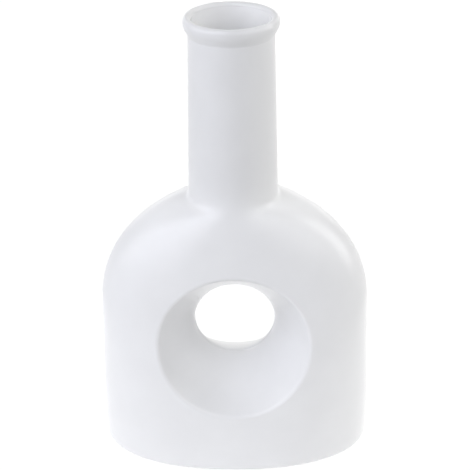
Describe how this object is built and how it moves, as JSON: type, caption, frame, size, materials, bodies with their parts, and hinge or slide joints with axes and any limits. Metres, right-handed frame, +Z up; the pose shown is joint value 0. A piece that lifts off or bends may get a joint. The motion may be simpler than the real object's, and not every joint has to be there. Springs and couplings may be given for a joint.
{
  "type": "ceramic bud vase",
  "caption": "White ceramic bud vase with an arched, flattened hollow body, a round hourglass tunnel from front to back and a tall tapered neck with a rolled lip.",
  "frame": {"origin": "middle of the footprint, on the table", "axes": "+Z up along the neck, the tunnel runs along Y and the front faces -Y, +X to the right seen from the front"},
  "size_m": [0.1182, 0.0638, 0.2],
  "materials": {
    "body_glaze": "satin white glaze",
    "tunnel_glaze": "satin white glaze",
    "neck_glaze": "satin white glaze outside, gloss inside",
    "lip_glaze": "satin white glaze, glossier towards the bore",
    "base_glaze": "satin white glaze, with an unglazed foot ring"
  },
  "bodies": {
    "root": {"base_plate": "base_glaze", "front_shell": "body_glaze", "back_shell": "body_glaze", "front_funnel": "tunnel_glaze", "back_funnel": "tunnel_glaze", "neck_tube": "neck_glaze", "lip_ring": "lip_glaze"}
  },
  "joints": []
}
